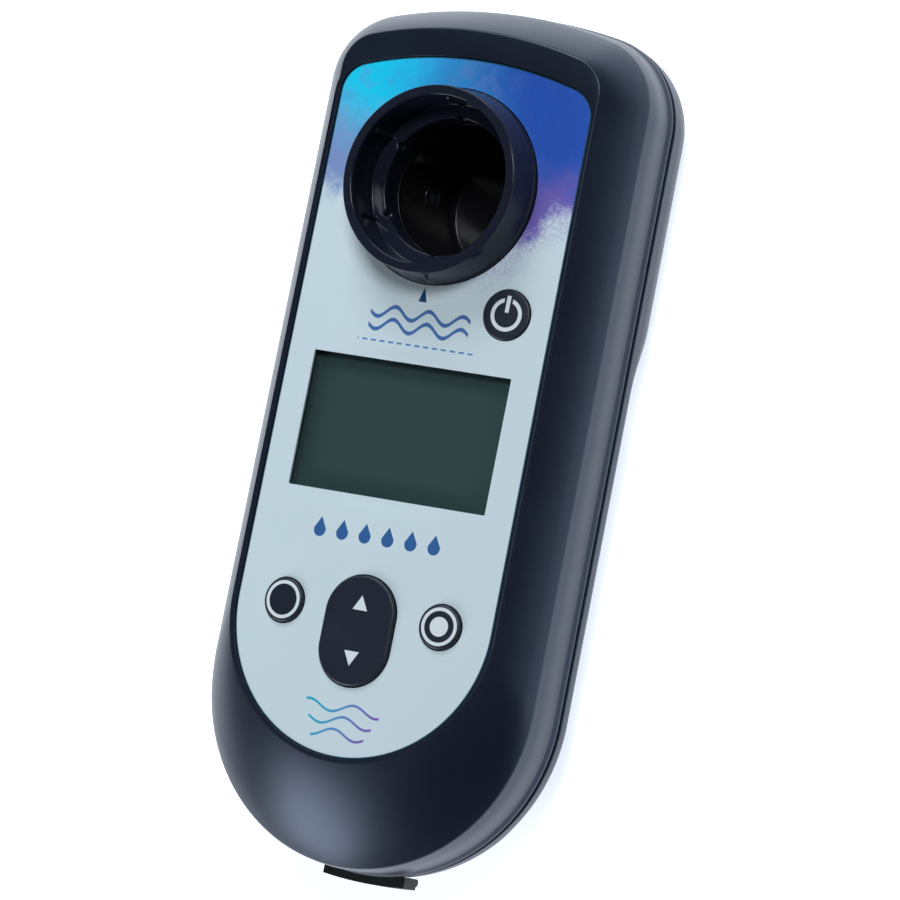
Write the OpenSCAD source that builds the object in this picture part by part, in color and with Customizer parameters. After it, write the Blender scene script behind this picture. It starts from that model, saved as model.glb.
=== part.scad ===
// Hand-held digital water tester (pool and spa photometer) with a well for a sample tube.
// Millimetres, +Z out of the face, +Y towards the well end, lying on its back on z = 0.

/* [Node] */
// Which sub-part to build, or all of them

/* [Body] */
// Half width of the case at its widest
half_w = 37; // [36.9:0.05:37.1]
// Height of the middle of the face above the table
face_z = 36; // [35.8:0.1:36.3]
// Height of the joint line between the two shells
split_z = 13.6; // [13.5:0.05:13.7]
// Radius of the crown across the face
crown_r = 353; // [345:1:365]
// Height of the back of the waist above the table
waist_z = 5.2; // [5.1:0.05:5.3]

/* [Well] */
// Distance of the well axis from the middle of the case
well_y = 50.7; // [50.5:0.1:50.9]
// Outer radius of the collar rim
rim_r = 19; // [18.9:0.05:19.05]
// Inner radius of the collar rim
mouth_r = 16.9; // [16.7:0.1:17]
// Radius of the tube bore below the ledge
bore_r = 13.9; // [13.7:0.1:14]
// Height of the collar above the face
collar_h = 8.1; // [7.9:0.1:8.3]
// Height of the ledge inside the collar
ledge_z = 35.5; // [35.2:0.1:35.7]
// Height of the bore floor
floor_z = 5; // [4.9:0.1:5.2]

/* [Display] */
// Width of the display opening
screen_w = 44.8; // [44.4:0.1:45]
// Length of the display opening
screen_l = 27.5; // [27.2:0.1:27.8]
// Distance of the top edge of the display opening from the middle
screen_y = 14.65; // [14.5:0.05:14.8]

/* [Keys] */
// Sideways distance of the two round keys
key_x = 17.8; // [17.7:0.1:17.9]
// Distance of the lower key row from the middle
key_y = -36; // [-36.1:0.05:-35.9]
// Base radius of the two round keys
key_r = 4.6; // [4.5:0.05:4.65]
// Base radius of the power key
power_r = 5.1; // [5:0.05:5.15]
// Half width of the rocker key
rocker_r = 7.9; // [7.8:0.05:7.95]
// Length of the rocker key
rocker_l = 22.4; // [22.2:0.1:22.5]
// Travel of a round key
key_travel = 0.8; // [0.7:0.05:0.85]

/* [Batteries] */
// Diameter of a battery cell
cell_d = 14.2; // [14:0.1:14.3]
// Length of a battery cell
cell_l = 50; // [49.8:0.1:50.2]
// Pitch between the cells
cell_pitch = 15.6; // [15.5:0.1:15.7]

/* [Hidden] */
big = 200;
rim_z = face_z + collar_h;
deck_z = face_z + 0.3;
power_x = 18.8;
power_y = 27;
rocker_y = -39.6;
rocker_half = rocker_l / 2 - rocker_r;
pivot_z = 33.6;
ceiling_z = 32.6;
board_z = 26.6;
board_t = 1.6;
board_top = board_z + board_t;
mat_top = 29;
screen_mid = screen_y - screen_l / 2;
bay_y = -24;
bay_w = 3 * cell_pitch + 1.4;
bay_l = cell_l + 4.4;
bay_low = waist_z + 1.6;
bay_top = 21.7;
cell_z = bay_low + cell_d / 2 + 0.3;
cover_w = 54;
cover_l = bay_l + 11.2;
cover_screw_y = bay_l / 2 + 3.4;
port_z = 10.6;
flap_low = 7.2;
flap_y = -86.4;
flap_z = 8;
light_z = 15;
navy = [0.10, 0.12, 0.17];
soft_black = [0.06, 0.06, 0.07];
board_green = [0.05, 0.28, 0.16];
steel = [0.75, 0.76, 0.78];
pale = [0.80, 0.84, 0.86];

// Case screws, board screws and foot pads, by their middles.
case_screw_xy = [[27.5, 71.5], [-27.5, 71.5], [30.2, 14], [-30.2, 14], [27.6, -62], [-27.6, -62]];
board_screw_xy = [[24.3, 19.6], [-24.3, 19.6], [20, -52], [-20, -52]];
foot_xy = [[10, -74.2], [-10, -74.2]];

// Half of each plan curve runs from the bottom middle, up the side, to the top middle.
arc_bottom = 14;
side_y = [-32, -12, 6, 17, 20.5, 24, 27.5, 31.5, 46, 60];
arc_corner = 8;
arc_top = 6;
arc_side = len(side_y) + 1;
half_n = arc_bottom + arc_side + arc_corner + arc_top;

function lerp(a, b, t) = a + (b - a) * t;

// A curve is [bottom radius, its middle y, side taper, top y, top arch radius, corner radius].
function corner_x(c) = c[0] - c[2] * (c[3] - 14 - c[1]) - c[5];

function corner_at(c) = [corner_x(c), c[3] - c[4] + sqrt(pow(c[4] - c[5], 2) - pow(corner_x(c), 2))];

function corner_turn(c) = atan2(corner_at(c)[1] - (c[3] - c[4]), corner_x(c));

function side_at(c, p, y) = [lerp(c[0], p[0] + c[5], (y - c[1]) / (p[1] - c[1])), y];

function half_curve(c) = let (p = corner_at(c), e = corner_turn(c)) [
    for (i = [0 : arc_bottom]) let (a = -90 + 90 * i / arc_bottom)
        [c[0] * cos(a), c[1] + c[0] * sin(a)],
    for (i = [0 : arc_side - 1]) side_at(c, p, i < arc_side - 1 ? side_y[i] : p[1]),
    for (i = [1 : arc_corner]) let (a = e * i / arc_corner)
        [p[0] + c[5] * cos(a), p[1] + c[5] * sin(a)],
    for (i = [1 : arc_top]) let (a = lerp(e, 90, i / arc_top))
        [c[4] * cos(a), c[3] - c[4] + c[4] * sin(a)]];

function inset(c, d) = [c[0] - d, c[1], c[2], c[3] - d, c[4] - d, c[5] - d];

function mirrored(h) = concat(h, [for (i = [half_n - 1 : -1 : 1]) [-h[i][0], h[i][1]]]);

function curve(c) = mirrored(half_curve(c));

function mixed(a, b, t) = let (p = curve(a), q = curve(b))
    [for (i = [0 : 2 * half_n - 1]) lerp(p[i], q[i], t)];

// The curves of the case, from the joint line up to the label.
joint_c = [half_w, -49.9, 0.0045, 90, 104, 19];
edge_c = [half_w - 0.45, -49.55, 0.0040, 88.35, 101, 14.9];
crease_c = [29.75, -36.1, 0.0050, 82.5, 92, 7.4];
label_c = [28.85, -36.1, 0.0050, 76.7, 87, 6.2];
cavity_c = [34.3, -49.3, 0.0066, 85, 102, 10.6];
board_c = [27.6, -38, 0.0050, 79.2, 88, 6];

// Height of the back face along the case: well housing, waist and lower foot.
function ease(t) = let (u = min(1, max(0, t))) u * u * (3 - 2 * u);

function back_z(y) = waist_z * (1 - ease((y - 18) / 13)) - 1.3 * ease((-y - 71) / 4);

function at_z(c, z) = [for (p = c) [p[0], p[1], z]];

// Height over the way from the shoulder edge to the crease, a little domed.
function shoulder_z(t) = lerp(25.9, 35.2, t + 0.34 * t * (1 - t));

// A closed skin over rings of points, the two end rings spanned by strips across.
module skin(rings) {
    n = 2 * half_n;
    top = (len(rings) - 1) * n;
    points = [for (r = rings) for (p = r) p];
    walls = [for (k = [0 : len(rings) - 2]) for (i = [0 : n - 1]) for (h = [0, 1])
        h == 0 ? [k * n + i, (k + 1) * n + i, (k + 1) * n + (i + 1) % n]
            : [k * n + i, (k + 1) * n + (i + 1) % n, k * n + (i + 1) % n]];
    low = [for (i = [0 : half_n - 1]) i == 0 ? [0, 1, n - 1]
        : i == half_n - 1 ? [i, half_n, n - i] : [i, i + 1, n - i - 1, n - i]];
    high = [for (f = low) [for (j = [len(f) - 1 : -1 : 0]) top + f[j]]];
    polyhedron(points = points, faces = concat(low, walls, high), convexity = 6);
}

module crown(z) {
    translate([0, 0, z - crown_r]) rotate([90, 0, 0])
        cylinder(r = crown_r, h = 2 * big, center = true, $fn = 400);
}

module plan(c, low, high) {
    translate([0, 0, low]) linear_extrude(height = high - low) polygon(curve(c));
}

module stadium(r, half, low, high) {
    translate([0, 0, low]) linear_extrude(height = high - low) union() {
        translate([0, half]) circle(r = r, $fn = 64);
        translate([0, -half]) circle(r = r, $fn = 64);
        square([2 * r, 2 * half], center = true);
    }
}

module block(x0, x1, y0, y1, z0, z1) {
    translate([x0, y0, z0]) cube([x1 - x0, y1 - y0, z1 - z0]);
}

// A block of half sizes around the middle of the long axis.
module slab(half_x, mid_y, half_y, z0, z1) {
    block(-half_x, half_x, mid_y - half_y, mid_y + half_y, z0, z1);
}

module frame_block(half_x, mid_y, half_y, width, z0, z1) {
    difference() {
        slab(half_x, mid_y, half_y, z0, z1);
        slab(half_x - width, mid_y, half_y - width, z0 - 1, z1 + 1);
    }
}

module rod(r, x, y, z0, z1) {
    translate([x, y, z0]) cylinder(r = r, h = z1 - z0, $fn = 64);
}

// A rod along X at the height of the light path.
module light_rod(r, x0, x1) {
    translate([x0, well_y, light_z]) rotate([0, 90, 0]) cylinder(r = r, h = x1 - x0, $fn = 64);
}

module front_rings() {
    skin([
        at_z(curve(inset(joint_c, 0.35)), split_z + 0.25),
        at_z(curve(inset(joint_c, 0.05)), split_z + 0.65),
        at_z(curve(joint_c), split_z + 1.3),
        at_z(curve(inset(joint_c, 0.15)), split_z + 1.95),
        at_z(curve(inset(joint_c, 0.55)), split_z + 2.35),
        at_z(mixed(inset(joint_c, 0.5), edge_c, 0.3), split_z + 3.2),
        at_z(mixed(inset(joint_c, 0.5), edge_c, 0.9), 23.6),
        at_z(curve(edge_c), 25.2),
        at_z(curve(inset(edge_c, 0.35)), 25.75),
        at_z(mixed(edge_c, crease_c, 0.16), shoulder_z(0.14)),
        at_z(mixed(edge_c, crease_c, 0.30), shoulder_z(0.28)),
        at_z(mixed(edge_c, crease_c, 0.50), shoulder_z(0.48)),
        at_z(mixed(edge_c, crease_c, 0.72), shoulder_z(0.71)),
        at_z(mixed(edge_c, crease_c, 0.90), shoulder_z(0.90)),
        at_z(curve(crease_c), 35.4),
        at_z(curve(inset(crease_c, 0.6)), 37)]);
}

module front_shell() {
    color(navy) difference() {
        intersection() {
            front_rings();
            crown(deck_z);
        }
        plan(cavity_c, 10, 21.5);
        plan([31.8, -45, 0.0055, 83.4, 100, 9], 20, 27.2);
        plan(board_c, 26, ceiling_z);
        difference() {
            plan(inset(label_c, -0.1), 30, 45);
            crown(face_z - 0.6);
        }
        rod(20.1, 0, well_y, 30, 45);
        slab(24, screen_mid, 15.4, 30, 45);
        rod(power_r + 0.2, power_x, power_y, 30, 45);
        rod(key_r + 0.2, -key_x, key_y, 30, 45);
        rod(key_r + 0.2, key_x, key_y, 30, 45);
        translate([0, rocker_y, 0]) stadium(rocker_r + 0.35, rocker_half, 30, 45);
        slab(rocker_r + 2.6, rocker_y, 0.95, 30, pivot_z + 0.95);
        for (p = case_screw_xy) rod(1.52, p[0], p[1], split_z, 24.5);
    }
    color(navy) for (p = case_screw_xy) difference() {
        rod(2.6, p[0], p[1], split_z + 0.6, 28.2);
        rod(1.52, p[0], p[1], split_z, 24.5);
    }
    color(navy) for (p = board_screw_xy) difference() {
        rod(2.2, p[0], p[1], board_top, ceiling_z + 0.4);
        rod(1.02, p[0], p[1], board_top - 1, 32.4);
    }
}

// A ring of the rear shell, t of the way from the back up to its straight wall.
function back_ring(d, t) =
    [for (p = curve(inset(joint_c, d))) [p[0], p[1], lerp(back_z(p[1]), split_z - 2.6, t)]];

module rear_rings() {
    skin([
        back_ring(8.6, 0),
        back_ring(5.6, 0.045),
        back_ring(3.4, 0.14),
        back_ring(1.75, 0.29),
        back_ring(0.75, 0.5),
        at_z(curve(inset(joint_c, 0.35)), split_z - 2.6),
        at_z(curve(inset(joint_c, 0.2)), split_z - 0.7),
        at_z(curve(inset(joint_c, 0.5)), split_z - 0.25)]);
}

module rear_shell() {
    color(navy) difference() {
        rear_rings();
        difference() {
            plan(cavity_c, 11, 20);
            for (p = case_screw_xy) rod(4.2, p[0], p[1], 0, split_z - 0.3);
        }
        difference() {
            plan([31.4, -48, 0.0066, 22, 400, 4], waist_z + 3.2, 11.1);
            for (p = case_screw_xy) rod(4.2, p[0], p[1], 0, split_z - 0.3);
        }
        difference() {
            intersection() {
                plan([32.4, -48, 0.0066, 83, 98, 9], 2.2, 11.1);
                block(-40, 40, 31, 90, 0, 20);
            }
            for (p = case_screw_xy) rod(4.2, p[0], p[1], 0, split_z - 0.3);
        }
        slab(bay_w / 2, bay_y, bay_l / 2, -1, 20);
        slab(cover_w / 2 + 0.15, bay_y, cover_l / 2 + 0.15, -1, bay_low);
        block(-4.7, 4.7, -90, -77.5, port_z - 2, port_z + 2);
        block(-9.7, 9.7, -92, -85.5, flap_low - 0.2, 20);
        for (p = case_screw_xy) rod(2.9, p[0], p[1], -1, 8.6);
        for (p = case_screw_xy) rod(1.65, p[0], p[1], 0, 20);
        for (p = foot_xy) rod(3.25, p[0], p[1], -1, 5.2);
        block(-17.1, 17.1, 40.9, 63.1, -1, 0.7);
        frame_block(bay_w / 2 + 1.35, bay_y, bay_l / 2 + 1.35, 0.9, 6, bay_low + 0.5);
        for (x = [-21, 21]) for (s = [-1, 1])
            rod(1.02, x, bay_y + s * cover_screw_y, 5, 12.2);
    }
    color(navy) difference() {
        slab(bay_w / 2 + 1.4, bay_y, bay_l / 2 + 1.4, waist_z + 2.8, bay_top + 1.2);
        slab(bay_w / 2, bay_y, bay_l / 2, 0, bay_top);
    }
    color(navy) for (x = [-21, 21]) for (s = [-1, 1]) difference() {
        rod(2.1, x, bay_y + s * cover_screw_y, waist_z + 2.8, 13);
        rod(1.02, x, bay_y + s * cover_screw_y, 5, 12.2);
        slab(bay_w / 2, bay_y, bay_l / 2, 0, bay_top);
    }
}

module case_seal() {
    color(soft_black) difference() {
        plan(inset(joint_c, 0.95), split_z - 0.25, split_z + 0.25);
        plan(inset(joint_c, 2.7), split_z - 1, split_z + 1);
    }
}

module face_overlay() {
    color(pale) difference() {
        intersection() {
            plan(label_c, 30, 40);
            crown(face_z);
        }
        crown(face_z - 0.6);
        rod(20.15, 0, well_y, 30, 45);
        slab(screen_w / 2, screen_mid, screen_l / 2, 30, 45);
        rod(power_r + 0.2, power_x, power_y, 30, 45);
        rod(key_r + 0.2, -key_x, key_y, 30, 45);
        rod(key_r + 0.2, key_x, key_y, 30, 45);
        translate([0, rocker_y, 0]) stadium(rocker_r + 0.35, rocker_half, 30, 45);
    }
}

module display_window() {
    color([0.85, 0.9, 0.9, 0.35]) slab(23.8, screen_mid, 15.2, 33.3, 34.5);
}

module lcd_panel() {
    color([0.20, 0.27, 0.26]) slab(23.2, screen_mid, 14.6, 31, 33.1);
}

module lcd_bezel() {
    color(soft_black) frame_block(25.2, screen_mid, 16, 1.25, board_top, 32.5);
}

module lcd_strip() {
    color([0.75, 0.45, 0.55]) for (s = [-1, 1])
        slab(21.5, screen_mid + 12.6 * s, 1.1, board_top, 31);
}

module main_board() {
    color(board_green) difference() {
        intersection() {
            plan(inset(board_c, 1), board_z, board_top);
            block(-40, 40, -80, 31, 0, 40);
        }
        rod(23.6, 0, well_y, 20, 40);
        for (p = board_screw_xy) rod(1.15, p[0], p[1], 20, 40);
    }
    color(soft_black) slab(7, -2, 7, board_z - 1.6, board_z);
    color(soft_black) block(12, 20, 4, 12, board_z - 1.4, board_z);
    color([0.7, 0.6, 0.4]) block(-19, -11, 2, 6, board_z - 2.2, board_z);
}

module keypad_mat() {
    color([0.35, 0.36, 0.38]) slab(23, -38.5, 9.5, board_top, mat_top);
    color([0.35, 0.36, 0.38]) block(12.6, 25, 22.1, 30.4, board_top, mat_top);
}

// A round key with a retaining flange; its top follows the crown of the face.
module round_key(x, y, r, proud, draft) {
    intersection() {
        union() {
            rod(r, x, y, 30.6, face_z - 0.6);
            translate([x, y, face_z - 0.6]) cylinder(r1 = r, r2 = r - draft, h = proud + 0.8, $fn = 64);
            rod(r + 0.7, x, y, 30.6, ceiling_z - 0.4);
        }
        crown(face_z + proud);
    }
}

module pill(x, y, r) {
    color([0.12, 0.12, 0.12]) rod(r, x, y, mat_top + 1, 30.6);
}

module power_key() {
    color(navy) round_key(power_x, power_y, power_r, 0.35, 0.15);
}

module power_pill() {
    pill(power_x, power_y, 2.2);
}

module back_key() {
    color(navy) round_key(-key_x, key_y, key_r, 0.75, 0.35);
}

module back_pill() {
    pill(-key_x, key_y, 2);
}

module enter_key() {
    color(navy) round_key(key_x, key_y, key_r, 0.75, 0.35);
}

module enter_pill() {
    pill(key_x, key_y, 2);
}

module rocker_key() {
    color(navy) translate([0, rocker_y, 0]) {
        intersection() {
            union() {
                stadium(rocker_r, rocker_half, 30.9, face_z + 0.3);
                stadium(rocker_r - 0.3, rocker_half, 31, face_z + 1);
                stadium(rocker_r + 0.8, rocker_half, 30.9, ceiling_z - 0.9);
            }
            crown(face_z + 0.8);
        }
        translate([0, 0, pivot_z]) rotate([0, 90, 0])
            cylinder(r = 0.7, h = 2 * rocker_r + 4.2, center = true, $fn = 32);
    }
}

module rocker_pills() {
    color([0.12, 0.12, 0.12]) for (s = [-1, 1])
        rod(1.9, 0, rocker_y + 7.6 * s, mat_top + 1, 30.9);
}

module well_collar() {
    color(navy) translate([0, well_y, 0]) difference() {
        union() {
            rotate_extrude($fn = 96) polygon([
                [bore_r, 29.6], [22.2, 29.6], [22.2, 31.9], [19.9, 31.9], [19.9, face_z + 0.4],
                [19.55, face_z + 1], [rim_r, rim_z - 0.3], [rim_r - 0.3, rim_z],
                [mouth_r + 0.25, rim_z], [mouth_r, rim_z - 0.25], [mouth_r, ledge_z],
                [bore_r + 0.3, ledge_z], [bore_r, ledge_z - 0.3]]);
            for (a = [30 : 60 : 330]) rotate([0, 0, a])
                translate([mouth_r, 0, ledge_z - 0.5]) cylinder(r = 0.6, h = 7, $fn = 24);
        }
        for (a = [30 : 60 : 330]) rotate([0, 0, a])
            translate([bore_r + 1, 0, ledge_z - 1.2]) cylinder(r = 0.7, h = 1.3, $fn = 24);
        translate([0, -19.75, face_z + 1.2]) rotate([90, 0, 0]) cylinder(r = 0.35, h = 2, $fn = 24);
    }
}

module collar_seal() {
    color(soft_black) translate([0, well_y, 32.25]) rotate_extrude($fn = 96)
        translate([21, 0]) circle(r = 0.35, $fn = 24);
}

module optics_chamber() {
    color(soft_black) difference() {
        union() {
            rod(16.2, 0, well_y, 2.2, 29.6);
            light_rod(4.6, -20.6, 20.6);
            block(-19, 19, well_y - 2, well_y + 2, 2.2, 6.5);
        }
        rod(bore_r, 0, well_y, floor_z, 40);
        light_rod(2.6, -30, 30);
    }
}

module led_window() {
    color([0.8, 0.9, 0.95, 0.5]) light_rod(2.58, -15.2, -14.2);
}

module detector_window() {
    color([0.8, 0.9, 0.95, 0.5]) light_rod(2.58, 14.2, 15.2);
}

module optical_filter() {
    color([0.25, 0.5, 0.35]) light_rod(2.58, 15.4, 16.9);
}

module light_source() {
    color([0.9, 0.9, 0.85]) light_rod(2.4, -20.8, -17.4);
    color([0.9, 0.9, 0.85]) translate([-17.4, well_y, light_z]) sphere(r = 2.0, $fn = 32);
}

module detector() {
    color(steel) light_rod(2.45, 17.2, 20.8);
}

module led_board() {
    color(board_green) block(-22.2, -20.8, well_y - 6.5, well_y + 6.5, 8, 24);
}

module detector_board() {
    color(board_green) block(20.8, 22.2, well_y - 6.5, well_y + 6.5, 8, 24);
}

module usb_port() {
    color(steel) difference() {
        block(-4.5, 4.5, -85.1, -78, port_z - 1.8, port_z + 1.8);
        block(-4.2, 4.2, -86, -79, port_z - 1.5, port_z + 1.5);
    }
    color(soft_black) block(-3.4, 3.4, -84, -79.2, port_z - 0.4, port_z + 0.4);
}

module usb_cover() {
    color(soft_black) {
        intersection() {
            block(-9.3, 9.3, -90, -85.6, flap_z, split_z - 0.4);
            translate([0, -8.4, 0]) cylinder(r = 80, h = 30, $fn = 400);
        }
        translate([-9.3, flap_y, flap_z]) rotate([0, 90, 0]) cylinder(r = 0.8, h = 18.6, $fn = 32);
        block(-3.9, 3.9, -85.7, -84.7, port_z - 1.2, port_z + 1.2);
    }
}

module battery_cover() {
    color(navy) difference() {
        slab(cover_w / 2, bay_y, cover_l / 2, waist_z, bay_low);
        for (i = [-2 : 2]) slab(13, bay_y + cover_l / 2 - 9 + 2.4 * i, 0.6, waist_z - 1, waist_z + 0.5);
        for (x = [-21, 21]) for (s = [-1, 1]) {
            rod(1.15, x, bay_y + s * cover_screw_y, 0, 10);
            rod(1.8, x, bay_y + s * cover_screw_y, 0, waist_z + 0.9);
        }
    }
}

module cover_seal() {
    color(soft_black) frame_block(bay_w / 2 + 1.3, bay_y, bay_l / 2 + 1.3, 0.8, bay_low, bay_low + 0.45);
}

module cover_screws() {
    color(steel) for (x = [-21, 21]) for (s = [-1, 1]) difference() {
        union() {
            rod(1.7, x, bay_y + s * cover_screw_y, waist_z + 0.1, waist_z + 0.85);
            rod(1.0, x, bay_y + s * cover_screw_y, waist_z + 0.8, 11.6);
        }
        rod(0.8, x, bay_y + s * cover_screw_y, waist_z, waist_z + 0.5);
    }
}

// One battery cell, its raised end towards +Y or -Y.
module cell(x, way) {
    color([0.12, 0.36, 0.62]) translate([x, bay_y, cell_z]) rotate([-90 * way, 0, 0]) {
        translate([0, 0, -cell_l / 2]) cylinder(r = cell_d / 2, h = cell_l - 1.4, $fn = 64);
        translate([0, 0, cell_l / 2 - 1.5]) cylinder(r = 2.7, h = 1.5, $fn = 32);
    }
}

module cell_left() {
    cell(-cell_pitch, 1);
}

module cell_middle() {
    cell(0, -1);
}

module cell_right() {
    cell(cell_pitch, 1);
}

module contact_springs() {
    color(steel) for (p = [[-cell_pitch, -1], [0, 1], [cell_pitch, -1]])
        translate([p[0], bay_y + p[1] * bay_l / 2, cell_z]) rotate([90 * p[1], 0, 0]) {
            for (i = [0 : 2]) translate([0, 0, 0.4 + 0.7 * i]) rotate_extrude($fn = 40)
                translate([3.6 - 0.7 * i, 0]) circle(r = 0.36, $fn = 16);
        }
}

module contact_plates() {
    color(steel) for (p = [[-cell_pitch, 1], [0, -1], [cell_pitch, 1]])
        translate([p[0], bay_y + p[1] * bay_l / 2, cell_z]) rotate([90 * p[1], 0, 0]) {
            translate([-4.5, -4.5, 0]) cube([9, 9, 0.5]);
            translate([0, 0, 0.4]) cylinder(r = 2.2, h = 1.7, $fn = 32);
        }
}

module case_screws() {
    color(steel) for (p = case_screw_xy) difference() {
        union() {
            rod(2.7, p[0], p[1], 6.4, 8.6);
            rod(1.5, p[0], p[1], 8.5, 22);
        }
        rod(1.3, p[0], p[1], 6, 7.4);
    }
}

module board_screws() {
    color(steel) for (p = board_screw_xy) {
        rod(1.9, p[0], p[1], board_z - 1.3, board_z);
        rod(1.0, p[0], p[1], board_z - 0.1, 32);
    }
}

module back_plate() {
    color([0.55, 0.56, 0.58]) block(-17, 17, 41, 63, 0.25, 0.7);
}

module foot_pads() {
    color(soft_black) for (p = foot_xy) {
        rod(3.2, p[0], p[1], 0.5, 5.2);
        translate([p[0], p[1], 0]) cylinder(r1 = 2.7, r2 = 3.2, h = 0.5, $fn = 64);
    }
}

front_shell();
rear_shell();
case_seal();
face_overlay();
display_window();
lcd_panel();
lcd_bezel();
lcd_strip();
main_board();
keypad_mat();
power_key();
power_pill();
back_key();
back_pill();
enter_key();
enter_pill();
rocker_key();
rocker_pills();
well_collar();
collar_seal();
optics_chamber();
led_window();
detector_window();
light_source();
led_board();
optical_filter();
detector();
detector_board();
usb_port();
usb_cover();
battery_cover();
cover_seal();
cover_screws();
cell_left();
cell_middle();
cell_right();
contact_springs();
contact_plates();
case_screws();
board_screws();
back_plate();
foot_pads();
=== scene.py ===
"""Looks of the hand-held digital water tester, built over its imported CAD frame."""

import bmesh
import bpy
import numpy as np
from mathutils import Matrix, Vector
from mathutils.geometry import delaunay_2d_cdt


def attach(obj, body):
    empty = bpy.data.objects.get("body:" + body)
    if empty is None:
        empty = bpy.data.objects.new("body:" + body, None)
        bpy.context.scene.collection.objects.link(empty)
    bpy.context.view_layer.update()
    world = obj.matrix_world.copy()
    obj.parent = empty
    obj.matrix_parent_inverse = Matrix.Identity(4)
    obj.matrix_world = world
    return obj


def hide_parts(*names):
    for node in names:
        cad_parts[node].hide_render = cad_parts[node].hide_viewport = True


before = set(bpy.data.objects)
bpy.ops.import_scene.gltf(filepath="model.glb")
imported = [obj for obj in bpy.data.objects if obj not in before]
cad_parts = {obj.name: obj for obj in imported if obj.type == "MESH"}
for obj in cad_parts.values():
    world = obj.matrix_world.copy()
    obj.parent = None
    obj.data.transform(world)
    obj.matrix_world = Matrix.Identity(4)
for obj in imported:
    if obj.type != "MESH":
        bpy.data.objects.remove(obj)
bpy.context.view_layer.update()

# ---------------------------------------------------------------- sizes, millimetres
MM = 0.001
FACE_Z = 36.0
DECK_Z = 36.3
CROWN_R = 353.0
SPLIT_Z = 13.6
WAIST_Z = 5.2
WELL_Y = 50.7
RIM_Z = 44.1
RIM_R = 19.0
COLLAR_R = 19.9
MOUTH_R = 16.9
LEDGE_Z = 35.5
BORE_R = 13.9
FLOOR_Z = 5.0
LIGHT_Z = 15.0
SCREEN = (44.8, 27.5, 0.9)
KEY_X = 17.8
KEY_Y = -36.0
KEY_R = 4.6
POWER_AT = (18.8, 27.0)
POWER_R = 5.1
ROCKER_Y = -39.6
ROCKER_R = 7.9
ROCKER_HALF = 3.3
BAY = (24.1, 27.2, -24.0)
BAY_TOP = 21.7
COVER = (27.15, 32.95, -24.0)
COVER_LEDGE = 6.85
SCREW_CUP = (2.9, 8.6)
CASE_SCREWS = ((27.5, 71.5), (-27.5, 71.5), (30.2, 14), (-30.2, 14), (27.6, -62), (-27.6, -62))
FOOT_PADS = ((10, -74.2), (-10, -74.2))
FOOT_R = 3.25
BACK_PLATE = (17.1, 11.1, 52.0)
KEY_BASE = 33.2
# The flap's recess (half width, floor y, lower edge) and the port slot (half width, half height, z).
USB_HALF = 9.7
USB_Y = -85.5
USB_LOW = 6.9
PORT = (5.2, 2.2, 10.6)
# Joint line, bead over it, and the top of the wall.
JOINT_GAP = 0.32
JOINT_LIP = 2.6
BEAD = ((0.90, JOINT_GAP, 0.1), (0.10, 0.55, 0.12), (0.16, 1.15, 0.1), (0.52, 1.95, 0.1))
BEAD_TOP = 2.15
WALL_TOP = 25.0
EDGE_Z = 25.6
SHOULDER_Z = 25.9
# The back's round-over: where it starts, how far in it runs, and where the flat net takes over.
BACK_TOP = SPLIT_Z - 2.6
BACK_IN = 0.35
ROUND = 8.25
PATCH_INSET = 3.0

# A plan curve: bottom radius, its middle y, side taper, top y, top arch radius, corner radius.
JOINT = (37.0, -49.9, 0.0045, 90, 104, 19)
EDGE = (36.55, -49.55, 0.0040, 88.35, 101, 14.9)
CREASE = (29.75, -36.1, 0.0050, 82.5, 92, 7.4)
LABEL = (28.85, -36.1, 0.0050, 76.7, 87, 6.2)
FINE = (48, 96, 28, 26)
COARSE = (24, 30, 14, 14)


# ---------------------------------------------------------------- plan curves
def half_curve(c, steps=FINE):
    """Right half of a plan curve: x, y = centre + r (cos a, sin a) on its three arcs, a line between."""
    radius, low, taper, top, arch, corner = c
    corner_x = radius - taper * (top - 14 - low) - corner
    corner_y = top - arch + np.sqrt((arch - corner) ** 2 - corner_x ** 2)
    turn = np.arctan2(corner_y - (top - arch), corner_x)
    a = np.linspace(-np.pi / 2, 0, steps[0] + 1)
    bottom = np.column_stack([radius * np.cos(a), low + radius * np.sin(a)])
    t = np.linspace(0, 1, steps[1] + 1)[1:]
    side = np.column_stack([radius + (corner_x + corner - radius) * t, low + (corner_y - low) * t])
    a = np.linspace(0, turn, steps[2] + 1)[1:]
    round_part = np.column_stack([corner_x + corner * np.cos(a), corner_y + corner * np.sin(a)])
    a = np.linspace(turn, np.pi / 2, steps[3] + 1)[1:]
    arch_part = np.column_stack([arch * np.cos(a), top - arch + arch * np.sin(a)])
    return np.vstack([bottom, side, round_part, arch_part])


def curve(c, steps=FINE):
    """The whole plan curve, anticlockwise from the bottom middle."""
    half = half_curve(c, steps)
    half[0, 0] = half[-1, 0] = 0.0
    return np.vstack([half, half[-2:0:-1] * (-1, 1)])


def inset(c, d):
    """The same curve moved inwards by d."""
    return (c[0] - d, c[1], c[2], c[3] - d, c[4] - d, c[5] - d)


def ease(t):
    """3 t^2 - 2 t^3 between 0 and 1."""
    u = np.clip(t, 0, 1)
    return u * u * (3 - 2 * u)


def crown(x, top):
    """Height of the face: top - R + sqrt(R^2 - x^2)."""
    return top - CROWN_R + np.sqrt(CROWN_R ** 2 - np.square(x))


def back_z(y):
    """Height of the back: 0 under the well, the waist, and a small step down at the lower end."""
    return WAIST_Z * (1 - ease((y - 18) / 13)) - 1.3 * ease((-y - 71) / 4)


def ring(xy, z):
    """Points of a plan curve at height z, a number or one value a point."""
    return np.column_stack([xy, np.broadcast_to(z, len(xy))])


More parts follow.
